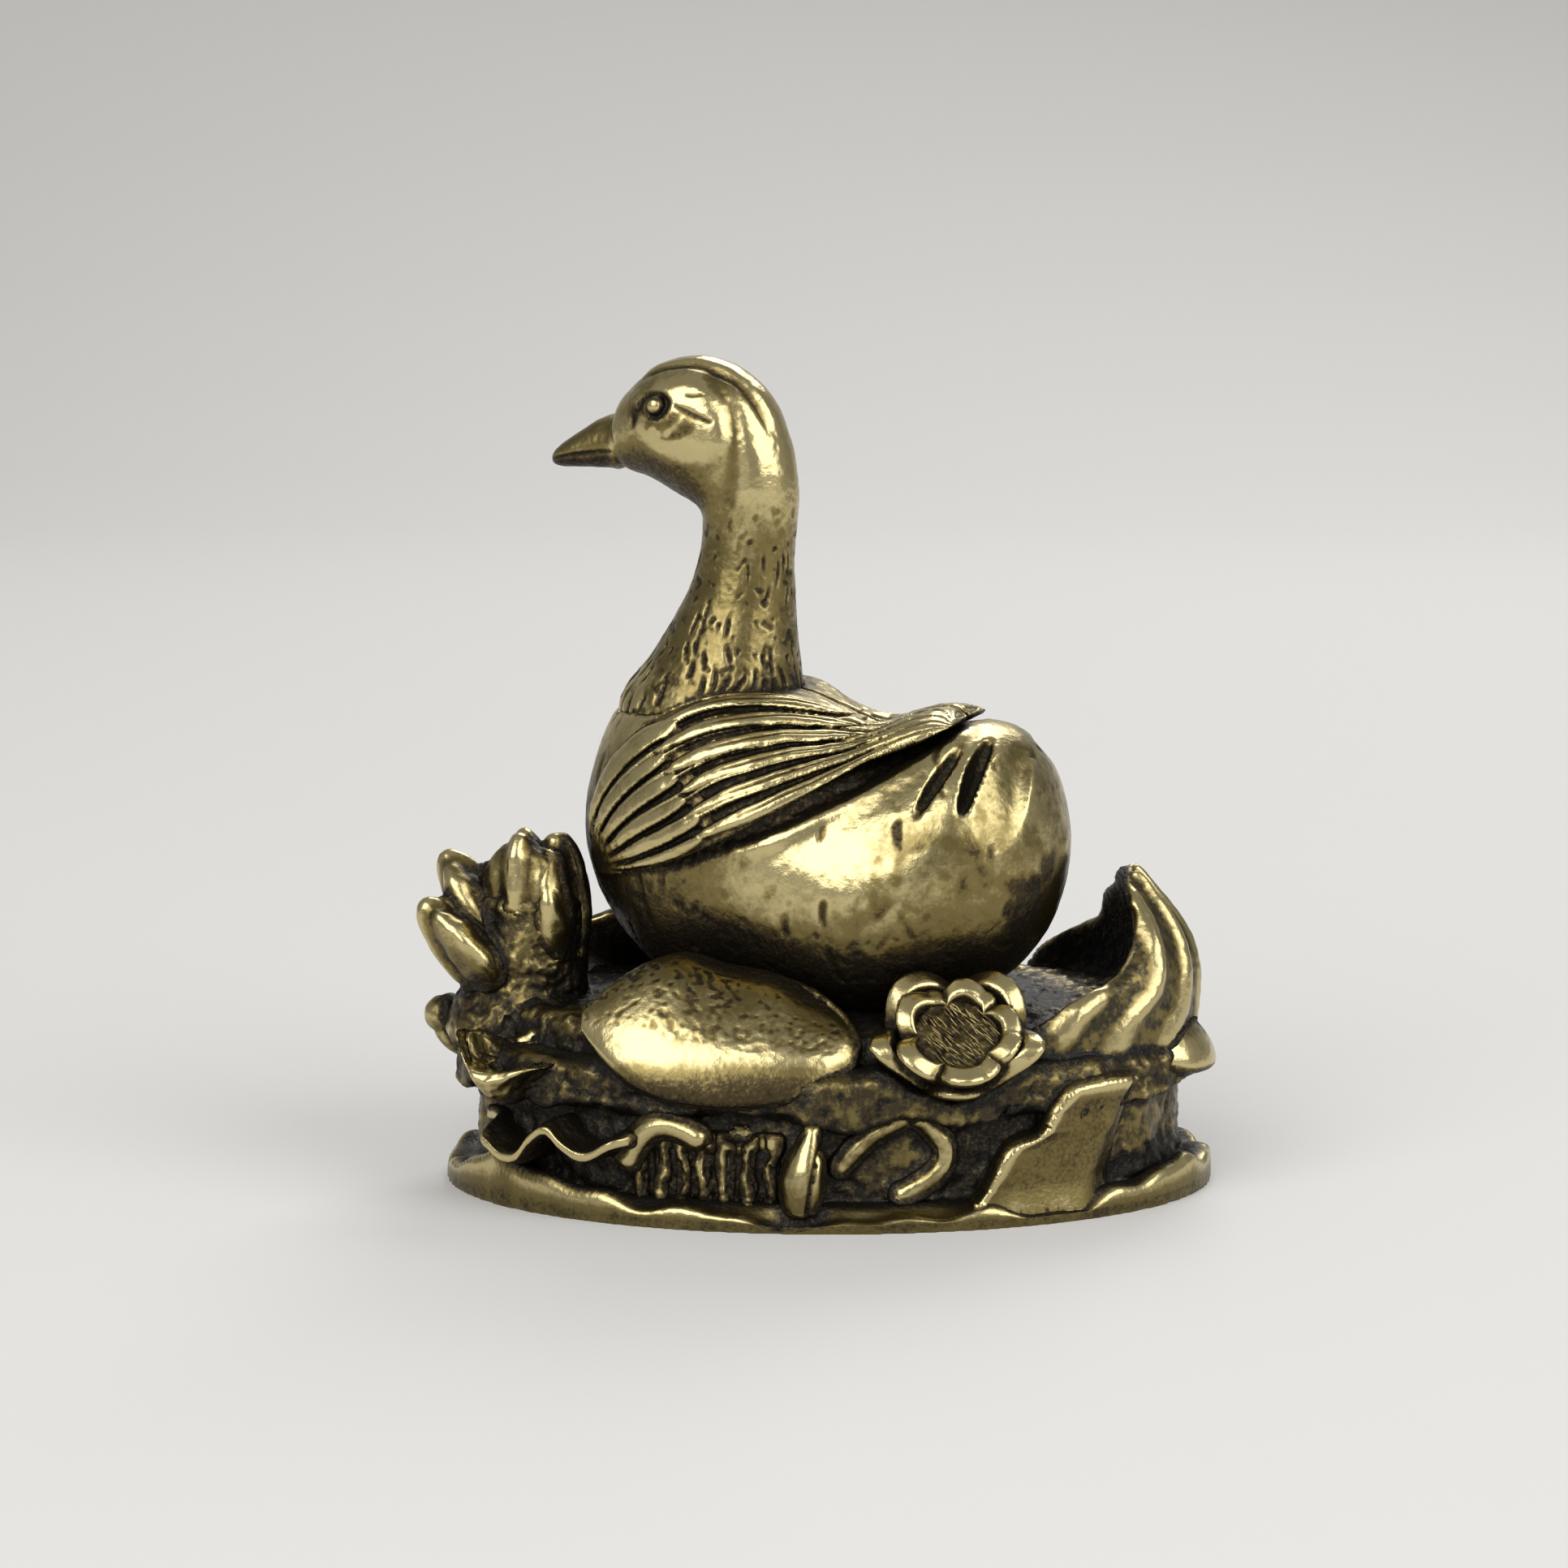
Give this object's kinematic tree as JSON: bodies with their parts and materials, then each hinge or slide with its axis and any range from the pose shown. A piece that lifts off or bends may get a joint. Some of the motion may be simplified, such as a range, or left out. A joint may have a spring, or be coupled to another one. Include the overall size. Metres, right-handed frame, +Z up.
{
  "type": "duck figurine",
  "caption": "Small cast brass duck resting on an oval lotus pond, ringed by curled leaves, lotus blooms and buds; a free-standing ornament for a desk or shelf.",
  "frame": {"origin": "middle of the flat underside of the base", "axes": "+Z up, -X the way the duck looks, -Y the front with the open flower"},
  "size_m": [0.0381, 0.0257, 0.0392],
  "materials": {
    "duck_brass": "polished on the high places with brown patina in the recesses",
    "eye_brass": "polished bead with a dark ring of patina round it",
    "base_brass": "mostly dark brown patina with a polished rim",
    "leaf_brass": "polished smooth with dark patina in the folds",
    "standing_leaf_brass": "dark blue-brown patina with polished edges",
    "flower_brass": "polished petal edges with dark patina between the petals",
    "stem_brass": "worn brass with dark patina in the recesses"
  },
  "bodies": {
    "root": {"duck_body": "duck_brass", "duck_neck_and_head": "duck_brass", "duck_left_wing": "duck_brass", "duck_right_wing": "duck_brass", "duck_left_eye": "eye_brass", "duck_right_eye": "eye_brass", "plinth": "base_brass", "pond_leaf": "base_brass", "front_leaf": "leaf_brass", "back_leaf": "leaf_brass", "side_leaf": "leaf_brass", "rolled_leaf": "leaf_brass", "hanging_leaf": "leaf_brass", "ribbed_leaf": "leaf_brass", "front_ruffled_leaf": "leaf_brass", "back_ruffled_leaf": "leaf_brass", "standing_leaf": "standing_leaf_brass", "flower_outer_petals": "flower_brass", "flower_cup": "flower_brass", "flower_pod": "flower_brass", "bloom_petals": "flower_brass", "bloom_heart": "flower_brass", "bloom_stem": "stem_brass", "knob_bud": "stem_brass", "standing_bud": "stem_brass", "left_curled_stem": "stem_brass", "right_curled_stem": "stem_brass"}
  },
  "joints": []
}
